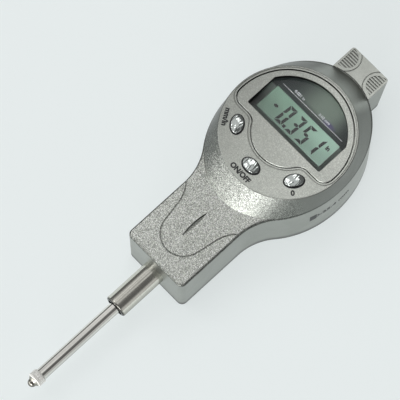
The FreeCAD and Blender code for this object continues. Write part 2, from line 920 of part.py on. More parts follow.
def make_end_cap():
    top = cap_section(body_height, 0, 0)
    bottom = cap_section(cap_low, cap_draft_side, cap_draft_end)
    block = Part.makeLoft([bottom, top], True, True)
    outer = [e for e in block.Edges if e.BoundBox.ZLength > 10 and e.CenterOfMass.y > 30]
    block = block.makeFillet(cap_corner_round, outer)
    block = block.cut(head_clearance())
    block = block.cut(lengthwise(spindle_radius + cap_spindle_gap, cap_start, cap_pocket_end))
    for side in (-1, 1):
        block = block.cut(grip_recess(side))
        block = block.cut(grip_line(side))
    return block


def save(name, shape):
    placed = shape.copy()
    placed.translate(Vector(0, neck_end, -axis_height))
    placed.exportStep("parts/" + name + ".step")
    print(name, "valid", placed.isValid(), "solids", len(placed.Solids), "volume", round(placed.Volume, 2))


def main():
    os.makedirs("parts", exist_ok=True)
    places = button_places()
    save("front_cover", make_front_cover())
    save("rear_cover", make_rear_cover())
    save("rear_cover_screws", Part.makeCompound([countersunk_screw(x, y) for x, y in rear_screw_places]))
    save("display_panel", make_display_panel())
    save("window_lens", make_window_lens())
    save("display_mask", make_display_mask())
    save("lcd_glass", make_lcd_glass())
    save("lcd_holder", make_lcd_holder())
    save("zebra_connectors", make_zebra_connectors())
    save("main_board", make_main_board())
    save("main_board_screws", make_board_screws())
    save("processor_chip", make_processor_chip())
    save("clock_crystal", make_clock_crystal())
    save("button_switches", make_button_switches())
    save("button_mm_in", make_button(places[0]))
    save("button_on_off", make_button(places[1]))
    save("button_zero", make_button(places[2]))
    save("chassis", make_chassis())
    save("chassis_screws", make_chassis_screws())
    save("stem", make_stem())
    save("lower_bushing", make_lower_bushing())
    save("upper_bushing", make_upper_bushing())
    save("dust_wiper", make_dust_wiper())
    save("stem_set_screw", make_stem_set_screw())
    save("stop_bumper", make_stop_bumper())
    save("spindle", make_spindle())
    save("contact_point", make_contact_point())
    save("scale_carrier", make_scale_carrier())
    save("carrier_clamp_screw", make_carrier_clamp_screw())
    save("guide_pin", make_guide_pin())
    save("scale_strip", make_scale_strip())
    save("reader_board", make_reader_board())
    save("board_connectors", make_board_connectors())
    save("return_spring", make_return_spring())
    save("spring_anchor_post", make_spring_anchor_post())
    save("spring_moving_post", make_spring_moving_post())
    save("battery_tray", make_battery_tray())
    save("coin_cell", make_coin_cell())
    save("battery_contact_positive", make_battery_contact_positive())
    save("battery_contact_negative", make_battery_contact_negative())
    save("end_cap", make_end_cap())


main()
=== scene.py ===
import math

import bmesh
import bpy
from mathutils import Matrix, Vector


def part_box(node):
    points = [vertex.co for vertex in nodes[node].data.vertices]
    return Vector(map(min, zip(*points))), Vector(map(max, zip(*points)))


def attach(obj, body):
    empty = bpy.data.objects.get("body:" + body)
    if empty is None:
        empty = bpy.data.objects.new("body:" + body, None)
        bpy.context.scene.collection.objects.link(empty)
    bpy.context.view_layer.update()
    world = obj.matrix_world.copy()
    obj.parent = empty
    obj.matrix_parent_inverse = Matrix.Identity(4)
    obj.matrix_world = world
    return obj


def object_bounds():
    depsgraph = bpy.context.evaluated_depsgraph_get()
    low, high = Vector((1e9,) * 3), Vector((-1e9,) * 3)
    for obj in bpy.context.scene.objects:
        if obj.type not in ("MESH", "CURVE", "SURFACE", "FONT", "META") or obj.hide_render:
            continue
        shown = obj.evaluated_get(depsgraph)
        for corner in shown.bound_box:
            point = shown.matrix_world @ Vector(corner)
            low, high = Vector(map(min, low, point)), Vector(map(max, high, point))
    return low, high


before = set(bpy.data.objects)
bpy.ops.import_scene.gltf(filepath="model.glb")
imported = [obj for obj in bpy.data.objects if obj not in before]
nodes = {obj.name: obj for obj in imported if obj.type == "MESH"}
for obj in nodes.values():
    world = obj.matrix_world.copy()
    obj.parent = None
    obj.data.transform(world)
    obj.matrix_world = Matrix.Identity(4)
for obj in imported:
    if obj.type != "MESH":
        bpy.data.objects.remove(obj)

mm = 0.001
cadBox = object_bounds()

# Reference places, all read from the frame
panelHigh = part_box("display_panel")[1]
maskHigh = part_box("display_mask")[1]
glassLow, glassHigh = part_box("lcd_glass")
coverLow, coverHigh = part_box("front_cover")
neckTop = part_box("end_cap")[1].z
faceTop = panelHigh.z
headY = panelHigh.y - panelHigh.x     # the panel's round part is centred on the head
print("frame loaded,", len(nodes), "nodes")


# Node helpers
def addNode(tree, kind, inputs=None, **settings):
    node = tree.nodes.new(kind)
    for name, value in settings.items():
        setattr(node, name, value)
    for key, value in (inputs or {}).items():
        if isinstance(value, bpy.types.NodeSocket):
            tree.links.new(value, node.inputs[key])
        else:
            node.inputs[key].default_value = value
    return node


def mathNode(tree, operation, first, second=0.0, clamp=False):
    node = addNode(tree, "ShaderNodeMath", {0: first, 1: second}, operation=operation, use_clamp=clamp)
    return node.outputs[0]


def mapRange(tree, value, low, high, toLow=0.0, toHigh=1.0, smooth=False):
    kind = "SMOOTHSTEP" if smooth else "LINEAR"
    inputs = {"Value": value, "From Min": low, "From Max": high, "To Min": toLow, "To Max": toHigh}
    return addNode(tree, "ShaderNodeMapRange", inputs, interpolation_type=kind).outputs["Result"]


def mixColour(tree, factor, first, second):
    inputs = {"Factor": factor, 6: first, 7: second}
    return addNode(tree, "ShaderNodeMix", inputs, data_type="RGBA").outputs[2]


def multiply(tree, *values):
    result = values[0]
    for value in values[1:]:
        result = mathNode(tree, "MULTIPLY", result, value)
    return result


def without(tree, mask):
    # What a mask leaves over
    return mathNode(tree, "SUBTRACT", 1.0, mask)


def highest(tree, *masks):
    result = masks[0]
    for mask in masks[1:]:
        result = mathNode(tree, "MAXIMUM", result, mask)
    return result


def objectPlace(tree):
    # The place on the object as a vector, and as its X, Y and Z
    place = addNode(tree, "ShaderNodeTexCoord").outputs["Object"]
    return place, addNode(tree, "ShaderNodeSeparateXYZ", {0: place}).outputs


def upwardLean(tree, kind="Normal"):
    # 1 where the surface faces up, 0 where it is upright
    facing = addNode(tree, "ShaderNodeNewGeometry").outputs[kind]
    return addNode(tree, "ShaderNodeSeparateXYZ", {0: facing}).outputs["Z"]


def scaleColour(tree, colour, factor):
    # Multiplies a colour by a grey value
    first = colour if isinstance(colour, bpy.types.NodeSocket) else colour[:3]
    inputs = {0: first, "Scale": factor}
    return addNode(tree, "ShaderNodeVectorMath", inputs, operation="SCALE").outputs[0]


def newGroup(name, inputs, outputs):
    group = bpy.data.node_groups.new(name, "ShaderNodeTree")
    for label, value in inputs.items():
        socket = group.interface.new_socket(label, in_out="INPUT", socket_type="NodeSocketFloat")
        socket.default_value = value
    for label, kind in outputs.items():
        group.interface.new_socket(label, in_out="OUTPUT", socket_type=kind)
    start = group.nodes.new("NodeGroupInput")
    end = group.nodes.new("NodeGroupOutput")
    return group, start.outputs, end.inputs


def useGroup(tree, group, **values):
    node = tree.nodes.new("ShaderNodeGroup")
    node.node_tree = group
    for label, value in values.items():
        key = label[0].upper() + label[1:]
        if isinstance(value, bpy.types.NodeSocket):
            tree.links.new(value, node.inputs[key])
        else:
            node.inputs[key].default_value = value
    return node.outputs


# Shared effects
def makeFlakeGroup():
    # Metal flakes in paint: each small cell leans its own way
    group, start, end = newGroup("flakeCoat", {"Scale": 4000.0, "Tilt": 0.2},
                                 {"Normal": "NodeSocketVector", "Glint": "NodeSocketFloat"})
    place = addNode(group, "ShaderNodeTexCoord").outputs["Object"]
    facing = addNode(group, "ShaderNodeNewGeometry").outputs["Normal"]
    cells = addNode(group, "ShaderNodeTexVoronoi", {"Vector": place, "Scale": start["Scale"]})
    finer = mathNode(group, "MULTIPLY", start["Scale"], 2.3)
    fine = addNode(group, "ShaderNodeTexVoronoi", {"Vector": place, "Scale": finer})
    both = addNode(group, "ShaderNodeVectorMath", {0: cells.outputs["Color"], 1: fine.outputs["Color"]},
                   operation="ADD").outputs[0]
    centred = addNode(group, "ShaderNodeVectorMath", {0: both, 1: (1, 1, 1)}, operation="SUBTRACT")
    lean = addNode(group, "ShaderNodeVectorMath", {0: centred.outputs[0], "Scale": start["Tilt"]},
                   operation="SCALE").outputs[0]
    leaning = addNode(group, "ShaderNodeVectorMath", {0: facing, 1: lean}, operation="ADD").outputs[0]
    unit = addNode(group, "ShaderNodeVectorMath", {0: leaning}, operation="NORMALIZE").outputs[0]
    glint = addNode(group, "ShaderNodeSeparateColor", {0: cells.outputs["Color"]}).outputs["Red"]
    rare = mathNode(group, "POWER", glint, 2.0)
    group.links.new(unit, end["Normal"])
    group.links.new(mathNode(group, "SUBTRACT", rare, 0.33), end["Glint"])
    return group


def makeSmudgeGroup():
    # Soft handling marks that change the gloss
    group, start, end = newGroup("handMarks", {"Scale": 60.0}, {"Mask": "NodeSocketFloat"})
    place = addNode(group, "ShaderNodeTexCoord").outputs["Object"]
    cloud = addNode(group, "ShaderNodeTexNoise", {"Vector": place, "Scale": start["Scale"], "Detail": 6.0,
                                                  "Roughness": 0.62, "Distortion": 0.8}).outputs["Fac"]
    group.links.new(mapRange(group, cloud, 0.35, 0.7, smooth=True), end["Mask"])
    return group


def makeEdgeGroup():
    # Edges and grooves, where the rounded normal leaves the true one
    group, start, end = newGroup("edgeAndGrooveMask", {"Radius": 0.0003, "Gain": 4.0}, {"Edge": "NodeSocketFloat"})
    rounded = addNode(group, "ShaderNodeBevel", {"Radius": start["Radius"]}, samples=4).outputs["Normal"]
    facing = addNode(group, "ShaderNodeNewGeometry").outputs["Normal"]
    along = addNode(group, "ShaderNodeVectorMath", {0: rounded, 1: facing}, operation="DOT_PRODUCT")
    away = mathNode(group, "SUBTRACT", 1.0, along.outputs["Value"])
    group.links.new(mathNode(group, "MULTIPLY", away, start["Gain"], clamp=True), end["Edge"])
    return group


def makeTurningGroup():
    # Fine rings round the spindle axis, left by grinding
    group, start, end = newGroup("groundRings", {"Scale": 3000.0},
                                 {"Tone": "NodeSocketFloat", "Height": "NodeSocketFloat",
                                  "Streak": "NodeSocketFloat"})
    place = addNode(group, "ShaderNodeTexCoord").outputs["Object"]
    drawn = addNode(group, "ShaderNodeMapping", {"Vector": place, "Scale": (1.0, 0.012, 1.0)})
    streaks = addNode(group, "ShaderNodeTexNoise", {"Vector": drawn.outputs[0], "Scale": 1600.0, "Detail": 2.0})
    group.links.new(streaks.outputs["Fac"], end["Streak"])
    squeezed = addNode(group, "ShaderNodeMapping", {"Vector": place, "Scale": (0.04, 1.0, 0.04)})
    rings = addNode(group, "ShaderNodeTexNoise", {"Vector": squeezed.outputs[0], "Scale": start["Scale"],
                                                  "Detail": 3.0}).outputs["Fac"]
    group.links.new(rings, end["Tone"])
    group.links.new(rings, end["Height"])
    return group


def makeGrainGroup():
    # Spark-eroded mould grain and small colour drift
    group, start, end = newGroup("mouldGrain", {"Scale": 2500.0},
                                 {"Tone": "NodeSocketFloat", "Height": "NodeSocketFloat"})
    place = addNode(group, "ShaderNodeTexCoord").outputs["Object"]
    grain = addNode(group, "ShaderNodeTexNoise", {"Vector": place, "Scale": start["Scale"],
                                                  "Detail": 4.0}).outputs["Fac"]
    broad = mathNode(group, "MULTIPLY", start["Scale"], 0.03)
    drift = addNode(group, "ShaderNodeTexNoise", {"Vector": place, "Scale": broad}).outputs["Fac"]
    group.links.new(drift, end["Tone"])
    group.links.new(grain, end["Height"])
    return group


flakeCoat = makeFlakeGroup()
handMarks = makeSmudgeGroup()
edgeAndGrooveMask = makeEdgeGroup()
groundRings = makeTurningGroup()
mouldGrain = makeGrainGroup()
print("shared effects made")


# Materials
def newMaterial(name):
    material = bpy.data.materials.new(name)
    material.use_nodes = True
    tree = material.node_tree
    shader = tree.nodes["Principled BSDF"]
    return material, tree, shader


def drive(tree, shader, **sockets):
    names = {"baseColor": "Base Color", "coat": "Coat Weight"}
    for label, source in sockets.items():
        tree.links.new(source, shader.inputs[names.get(label, label[0].upper() + label[1:])])


paint = {
    "light": (0.535, 0.555, 0.512, 1),
    "deep": (0.487, 0.508, 0.468, 1),
    # painted shade: edges and grooves are darkened towards this colour
    "groove": (0.06, 0.062, 0.058, 1),
    "coarseEnd": headY - 11 * mm,     # the coarse flake fades out between these two places
    "coarseStart": headY - 17 * mm,
    # painted glint: coarseSpread and fineSpread make single flakes brighter or darker in the base colour, partly
    # their own tone
    "coarseSpread": 1.85,             # how much single flakes differ in brightness
    "fineSpread": 0.12,
    "fineTilt": 0.3,
    # Painted shade and light: the keys from neckStart to pocketDepth darken or lighten the paint by place and slope
    "neckStart": headY - 20 * mm,     # the head's shading changes to the neck's between these
    "neckEnd": headY - 30 * mm,
    "neckShade": 1.06,
    "shadeFrom": -28 * mm,            # the head gets lighter from left to right
    "shadeTo": 12 * mm,
    "leftShade": 0.62,
    "rightShade": 1.07,
    "shoulderShade": 0.63,
    "wallShade": 0.40,
    "capReach": 11.5 * mm,            # the shoulder is lighter in front of the end cap
    "capHalf": 7.5 * mm,
    "capLight": 0.55,
    "footShade": 0.7,
    "rimShade": 0.72,
    "grooveShade": 0.5,
    "pocketShade": 0.92,
    # painted shade: the panel's pocket and the button holes are dark this far down
    "pocketDepth": 2.2 * mm,          # how far down the panel's pocket and the button holes are dark
    "markScale": 70.0,
    "edgeRadius": 0.22 * mm,
    "edgeGain": 1.8,
    "edgeWeight": 0.75,
}


def lowZones(tree, axes, lean, level):
    # Painted shade in the low places: wall foot, neck rim, engraved lines, gaps round panel and buttons
    foot = mapRange(tree, axes["Z"], coverLow.z + 3.0 * mm, coverLow.z + 0.8 * mm, 0.0, paint["footShade"])
    rim = multiply(tree, mapRange(tree, lean, 0.05, 0.2), mapRange(tree, lean, 0.95, 0.7),
                   mapRange(tree, axes["Z"], neckTop, neckTop - 0.08 * mm, 0.0, paint["rimShade"]))
    sunken = mapRange(tree, axes["Z"], neckTop - 0.15 * mm, neckTop - 0.3 * mm, 0.0, paint["grooveShade"])
    pocketFoot = faceTop - paint["pocketDepth"]
    pocket = mapRange(tree, axes["Z"], pocketFoot - 0.1 * mm, pocketFoot, 0.0, paint["pocketShade"])
    pocket = multiply(tree, pocket, mapRange(tree, lean, 0.12, 0.06))
    return highest(tree, foot, rim, multiply(tree, sunken, level), pocket)


def bodyZones(tree):
    # Masks from place and slope: coarse flake on the neck, the face, and the sloping shoulder, the walls and the
    # head's sides, where shade and light are painted
    place, axes = objectPlace(tree)
    lean = upwardLean(tree, "True Normal")
    level = mapRange(tree, lean, 0.80, 0.97, smooth=True)
    wall = mapRange(tree, lean, 0.12, 0.04, smooth=True)
    aside = mathNode(tree, "ABSOLUTE", axes["X"])
    lightByCap = mapRange(tree, aside, paint["capReach"], paint["capHalf"], 0.0, paint["capLight"], smooth=True)
    lightByCap = multiply(tree, lightByCap, mapRange(tree, axes["Y"], headY + 15 * mm, headY + 20 * mm))
    sloping = multiply(tree, mapRange(tree, lean, 0.08, 0.16), without(tree, level))
    high = mapRange(tree, axes["Z"], neckTop - 0.6 * mm, neckTop)
    shoulder = multiply(tree, sloping, high, without(tree, lightByCap))
    face = multiply(tree, level, mapRange(tree, axes["Z"], faceTop - 0.4 * mm, faceTop - 0.1 * mm))
    near = mapRange(tree, axes["Y"], paint["coarseEnd"], paint["coarseStart"], smooth=True)
    coarse = multiply(tree, near, without(tree, wall), without(tree, face))
    across = mapRange(tree, axes["X"], paint["shadeFrom"], paint["shadeTo"], paint["leftShade"],
                      paint["rightShade"], smooth=True)
    onNeck = mapRange(tree, axes["Y"], paint["neckStart"], paint["neckEnd"])
    across = addNode(tree, "ShaderNodeMix", {0: onNeck, 2: across, 3: paint["neckShade"]}).outputs[0]
    return {"coarse": coarse, "face": face, "shoulder": shoulder, "wall": wall, "across": across,
            "low": lowZones(tree, axes, lean, level)}


def paintFinish(name, scale, tilt, roughness, grain, zoned=False):
    material, tree, shader = newMaterial(name)
    marks = useGroup(tree, handMarks, scale=paint["markScale"])["Mask"]
    edge = useGroup(tree, edgeAndGrooveMask, radius=paint["edgeRadius"], gain=paint["edgeGain"])["Edge"]
    zones = bodyZones(tree)
    tiltSource, spread = tilt, grain
    shade = multiply(tree, zones["across"], without(tree, zones["low"]))
    if zoned:
        tiltSource = mapRange(tree, zones["coarse"], 0.0, 1.0, tilt * paint["fineTilt"], tilt)
        spread = mapRange(tree, zones["coarse"], 0.0, 1.0, paint["fineSpread"], paint["coarseSpread"])
        spread = mathNode(tree, "ADD", spread, multiply(tree, zones["face"], grain))
        # Painted shade on the sloping shoulder and the upright walls
        slope = multiply(tree, zones["shoulder"], paint["shoulderShade"])
        side = multiply(tree, zones["wall"], paint["wallShade"])
        shade = multiply(tree, shade, without(tree, slope), without(tree, side))
    flakes = useGroup(tree, flakeCoat, scale=scale, tilt=tiltSource)
    # Single flakes brighter or darker in the base colour: partly their own tone, partly a painted glint
    flakeToneAndGlint = mathNode(tree, "ADD", multiply(tree, flakes["Glint"], spread), 1.0)
    body = mixColour(tree, multiply(tree, marks, 0.5), paint["light"], paint["deep"])
    body = scaleColour(tree, body, multiply(tree, flakeToneAndGlint, shade))
    # Painted shade: edges and grooves are darkened towards near black
    edgeShaded = mixColour(tree, multiply(tree, edge, paint["edgeWeight"]), body, paint["groove"])
    gloss = mapRange(tree, marks, 0.0, 1.0, roughness - 0.02, roughness + 0.04)
    drive(tree, shader, baseColor=edgeShaded, roughness=gloss, normal=flakes["Normal"])
    shader.inputs["Metallic"].default_value = 1.0
    return material


def plainFinish(name, light, deep, roughness, metallic=0.0, grain=2500.0, relief=0.02, coat=0.0):
    material, tree, shader = newMaterial(name)
    texture = useGroup(tree, mouldGrain, scale=grain)
    marks = useGroup(tree, handMarks, scale=90.0)["Mask"]
    drive(tree, shader, baseColor=mixColour(tree, texture["Tone"], (*light, 1), (*deep, 1)))
    drive(tree, shader, roughness=mapRange(tree, marks, 0.0, 1.0, roughness - 0.04, roughness + 0.06))
    bump = addNode(tree, "ShaderNodeBump", {"Height": texture["Height"], "Distance": relief * mm,
                                            "Strength": 0.6})
    drive(tree, shader, normal=bump.outputs[0])
    shader.inputs["Metallic"].default_value = metallic
    shader.inputs["Coat Weight"].default_value = coat
    return material


turned = {
    "edgeRadius": 0.2 * mm,
    "edgeGain": 2.0,
    "edgeWeight": 0.4,
    "markScale": 120.0,
    # painted shade: the stem's mouth is darkened between these places
    "mouthShadeStart": 0.15 * mm,      # the stem's mouth is dark from here
    "mouthShadeStop": 0.75 * mm,
    "mouthShadeLevel": 0.04,
}


def turnedFinish(name, light, deep, roughness, rings=3000.0, relief=0.002, mouthShadeFrom=None, underShade=0.0):
    material, tree, shader = newMaterial(name)
    lines = useGroup(tree, groundRings, scale=rings)
    rimShade = mapRange(tree, upwardLean(tree), 0.45, 0.10, 1.0, 1.0 - underShade, smooth=True)
    marks = useGroup(tree, handMarks, scale=turned["markScale"])["Mask"]
    edge = useGroup(tree, edgeAndGrooveMask, radius=turned["edgeRadius"], gain=turned["edgeGain"])["Edge"]
    bright = mixColour(tree, lines["Tone"], (*light, 1), (*deep, 1))
    body = mixColour(tree, multiply(tree, edge, turned["edgeWeight"]), bright, (*light, 1))
    # Painted shade: dark at the stem's mouth
    if mouthShadeFrom is not None:
        along = objectPlace(tree)[1]["Y"]
        mouthShade = mapRange(tree, along, mouthShadeFrom + turned["mouthShadeStart"], mouthShadeFrom + turned["mouthShadeStop"],
                        turned["mouthShadeLevel"], 1.0)
        body = scaleColour(tree, body, mouthShade)
    tone = multiply(tree, rimShade, mapRange(tree, lines["Streak"], 0.36, 0.64, 0.72, 1.12))
    drive(tree, shader, baseColor=scaleColour(tree, body, tone))
    drive(tree, shader, roughness=mapRange(tree, marks, 0.0, 1.0, roughness, roughness + 0.06))
    bump = addNode(tree, "ShaderNodeBump", {"Height": lines["Height"], "Distance": relief * mm,
                                            "Strength": 0.5})
    drive(tree, shader, normal=bump.outputs[0])
    shader.inputs["Metallic"].default_value = 1.0
    return material


point = {
    "foot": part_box("contact_point")[0].y,
    "collarStart": 2.1 * mm,     # from the tip
    "noseLength": 1.6 * mm,
    "noseColour": (1.0, 0.97, 0.86, 1),
    "collarLight": (1.0, 1.0, 0.98, 1),
    "collarDeep": (0.74, 0.73, 0.69, 1),
    "knurlScale": 2600.0,
    "knurlDepth": 0.08 * mm,
}


def pointFinish(name):
    # Bright knurled collar; polished nose with painted shade, darkest at the tip
    material, tree, shader = newMaterial(name)
    place, axes = objectPlace(tree)
    start = point["foot"] + point["collarStart"]
    collar = mapRange(tree, axes["Y"], start, start + 0.15 * mm)
    knurl = addNode(tree, "ShaderNodeTexVoronoi", {"Vector": place, "Scale": point["knurlScale"]},
                    distance="MANHATTAN")
    cells = mapRange(tree, knurl.outputs["Distance"], 0.2, 0.7)
    bright = mixColour(tree, cells, point["collarLight"], point["collarDeep"])
    shade = mapRange(tree, axes["Y"], point["foot"], point["foot"] + point["noseLength"], 0.16, 0.3)
    nose = scaleColour(tree, point["noseColour"], shade)
    drive(tree, shader, baseColor=mixColour(tree, collar, nose, bright))
    drive(tree, shader, roughness=mapRange(tree, collar, 0.0, 1.0, 0.18, 0.48))
    bump = addNode(tree, "ShaderNodeBump", {"Height": multiply(tree, collar, cells),
                                            "Distance": point["knurlDepth"], "Strength": 0.9})
    drive(tree, shader, normal=bump.outputs[0])
    drive(tree, shader, metallic=mapRange(tree, collar, 0.0, 1.0, 1.0, 0.3))
    return material


chrome = {
    "crown": (0.62, 0.66, 0.64, 1),
    # painted shade colour where the crown rolls over into the gap
    "gap": (0.05, 0.05, 0.05, 1),
    "waveTurn": 0.6,             # radians
    "waveStretch": 0.3,
    "waveScale": 1300.0,
    "waveDepth": 0.35 * mm,
}


def chromeFinish(name):
    # Rippled chrome, with painted shade dark where the crown rolls over into the gap
    material, tree, shader = newMaterial(name)
    marks = useGroup(tree, handMarks, scale=300.0)["Mask"]
    gapShade = mapRange(tree, upwardLean(tree), 0.86, 0.60, 0.0, 0.9, smooth=True)
    pulled = addNode(tree, "ShaderNodeMapping", {"Vector": objectPlace(tree)[0],
                                                 "Rotation": (0, 0, chrome["waveTurn"]),
                                                 "Scale": (1.0, chrome["waveStretch"], 1.0)})
    waves = addNode(tree, "ShaderNodeTexNoise", {"Vector": pulled.outputs[0], "Scale": chrome["waveScale"],
                                                 "Detail": 1.0})
    swell = addNode(tree, "ShaderNodeBump", {"Height": waves.outputs["Fac"], "Distance": chrome["waveDepth"],
                                             "Strength": 0.8})
    drive(tree, shader, normal=swell.outputs[0])
    drive(tree, shader, baseColor=mixColour(tree, gapShade, chrome["crown"], chrome["gap"]))
    drive(tree, shader, roughness=mapRange(tree, marks, 0.0, 1.0, 0.05, 0.12))
    shader.inputs["Metallic"].default_value = 1.0
    return material


def lensFinish(name):
    # Clear acrylic that lets lamps light the display behind it
    material, tree, shader = newMaterial(name)
    marks = useGroup(tree, handMarks, scale=150.0)["Mask"]
    drive(tree, shader, roughness=mapRange(tree, marks, 0.0, 1.0, 0.0, 0.04))
    shader.inputs["Base Color"].default_value = (0.98, 0.99, 0.99, 1)
    shader.inputs["Transmission Weight"].default_value = 1.0
    shader.inputs["IOR"].default_value = 1.49
    shader.inputs["Specular IOR Level"].default_value = 0.22
    lampRay = addNode(tree, "ShaderNodeLightPath").outputs["Is Shadow Ray"]
    clear = addNode(tree, "ShaderNodeBsdfTransparent", {"Color": (0.97, 0.98, 0.98, 1)}).outputs[0]
    both = addNode(tree, "ShaderNodeMixShader", {0: lampRay, 1: shader.outputs[0], 2: clear}).outputs[0]
    tree.links.new(both, tree.nodes["Material Output"].inputs["Surface"])
    return material


def displayFinish(name):
    # Grey-green reflective display, with painted shade darker towards its upper left
    material, tree, shader = newMaterial(name)
    axes = objectPlace(tree)[1]
    across = mapRange(tree, axes["X"], glassLow.x, glassHigh.x)
    upward = mapRange(tree, axes["Y"], glassLow.y, glassHigh.y)
    displayShade = mathNode(tree, "SUBTRACT", across, multiply(tree, upward, 0.35), clamp=True)
    grain = useGroup(tree, mouldGrain, scale=9000.0)["Height"]
    body = mixColour(tree, displayShade, (0.29, 0.49, 0.36, 1), (0.68, 0.99, 0.82, 1))
    speck = mapRange(tree, grain, 0.3, 0.7, 0.0, 0.12)
    drive(tree, shader, baseColor=mixColour(tree, speck, body, (0.22, 0.33, 0.26, 1)))
    drive(tree, shader, roughness=mapRange(tree, grain, 0.0, 1.0, 0.3, 0.45))
    return material


def segmentFinish(name):
    material, tree, shader = newMaterial(name)
    grain = useGroup(tree, mouldGrain, scale=6000.0)["Height"]
    drive(tree, shader, baseColor=mixColour(tree, grain, (0.003, 0.009, 0.006, 1), (0.008, 0.017, 0.012, 1)))
    drive(tree, shader, roughness=mapRange(tree, grain, 0.0, 1.0, 0.35, 0.5))
    return material


dome = {
    "dark": (0.095, 0.12, 0.115, 1),
    # lightest colour of the painted reflection
    "light": (0.46, 0.55, 0.47, 1),
    "fleck": (0.10, 0.11, 0.12, 1),
    # the violet keys place a painted reflection
    "violet": (0.28, 0.22, 0.52, 1),
    "violetPlace": (6.5 * mm, headY + 11.6 * mm),
    "violetReach": 1.3 * mm,
    "frame": (0.42, 0.50, 0.45, 1),       # the card round the display
    "frameTop": glassHigh.y - 1.2 * mm,
    "printSize": 1.35 * mm,
    "printY": headY + 11.9 * mm,
    "prints": [("label_resolution", "0.001 in", -6.9 * mm), ("label_resolution_mm", "0.02 mm", 4.2 * mm)],
    "lineFoot": 10.75 * mm,               # thin light line under the print
    "lineHalf": 13.4 * mm,
    "lineWidth": 0.16 * mm,
}


def maskFinish(name):
    # Smoked print behind the dome, with a painted reflection: lighter in the middle and a faint violet streak
    material, tree, shader = newMaterial(name)
    axes = objectPlace(tree)[1]
    # Painted reflection: the print is lighter in the middle and dark at both ends
    rise = mapRange(tree, axes["X"], -11 * mm, 1 * mm, smooth=True)
    fall = mapRange(tree, axes["X"], 13 * mm, 5 * mm, smooth=True)
    upper = mapRange(tree, axes["Y"], glassHigh.y - 1.0 * mm, glassHigh.y + 2.5 * mm, smooth=True)
    grain = useGroup(tree, mouldGrain, scale=5000.0)["Height"]
    base = mixColour(tree, multiply(tree, rise, fall, upper), dome["dark"], dome["light"])
    # Painted reflection: a faint violet streak low on the right
    violetX, violetY = dome["violetPlace"]
    aside = multiply(tree, mathNode(tree, "SUBTRACT", axes["X"], violetX), 0.35)
    above = mathNode(tree, "SUBTRACT", axes["Y"], violetY)
    off = addNode(tree, "ShaderNodeCombineXYZ", {0: aside, 1: above})
    reach = addNode(tree, "ShaderNodeVectorMath", {0: off.outputs[0]}, operation="LENGTH").outputs["Value"]
    violetReflection = mapRange(tree, reach, dome["violetReach"], 0.2 * mm, 0.0, 0.75, smooth=True)
    base = mixColour(tree, violetReflection, base, dome["violet"])
    inFrame = mapRange(tree, axes["Y"], dome["frameTop"], dome["frameTop"] - 0.6 * mm)
    base = mixColour(tree, inFrame, base, dome["frame"])
    drive(tree, shader, baseColor=mixColour(tree, multiply(tree, grain, 0.2), base, dome["fleck"]))
    drive(tree, shader, roughness=mapRange(tree, grain, 0.0, 1.0, 0.35, 0.5))
    return material


def boardFinish(name):
    # Solder mask over copper tracks, with plated holes
    material, tree, shader = newMaterial(name)
    place = addNode(tree, "ShaderNodeTexCoord").outputs["Object"]
    tracks = addNode(tree, "ShaderNodeTexBrick", {"Vector": place, "Scale": 420.0, "Mortar Size": 0.035,
                                                  "Color1": (0.008, 0.07, 0.035, 1),
                                                  "Color2": (0.01, 0.085, 0.045, 1),
                                                  "Mortar": (0.03, 0.17, 0.09, 1)})
    holes = addNode(tree, "ShaderNodeTexVoronoi", {"Vector": place, "Scale": 300.0})
    plated = mapRange(tree, holes.outputs["Distance"], 0.10, 0.08)
    drive(tree, shader, baseColor=mixColour(tree, plated, tracks.outputs["Color"], (0.6, 0.52, 0.3, 1)))
    drive(tree, shader, metallic=plated)
    bump = addNode(tree, "ShaderNodeBump", {"Height": tracks.outputs["Fac"], "Distance": 0.02 * mm})
    drive(tree, shader, normal=bump.outputs[0])
    shader.inputs["Roughness"].default_value = 0.3
    return material


def inkAndShadeFinish(name, colour):
    material, tree, shader = newMaterial(name)
    grain = useGroup(tree, mouldGrain, scale=8000.0)["Height"]
    pale = tuple(min(1.0, channel * 1.25 + 0.01) for channel in colour)
    drive(tree, shader, baseColor=mixColour(tree, grain, (*colour, 1), (*pale, 1)))
    drive(tree, shader, roughness=mapRange(tree, grain, 0.0, 1.0, 0.4, 0.6))
    return material


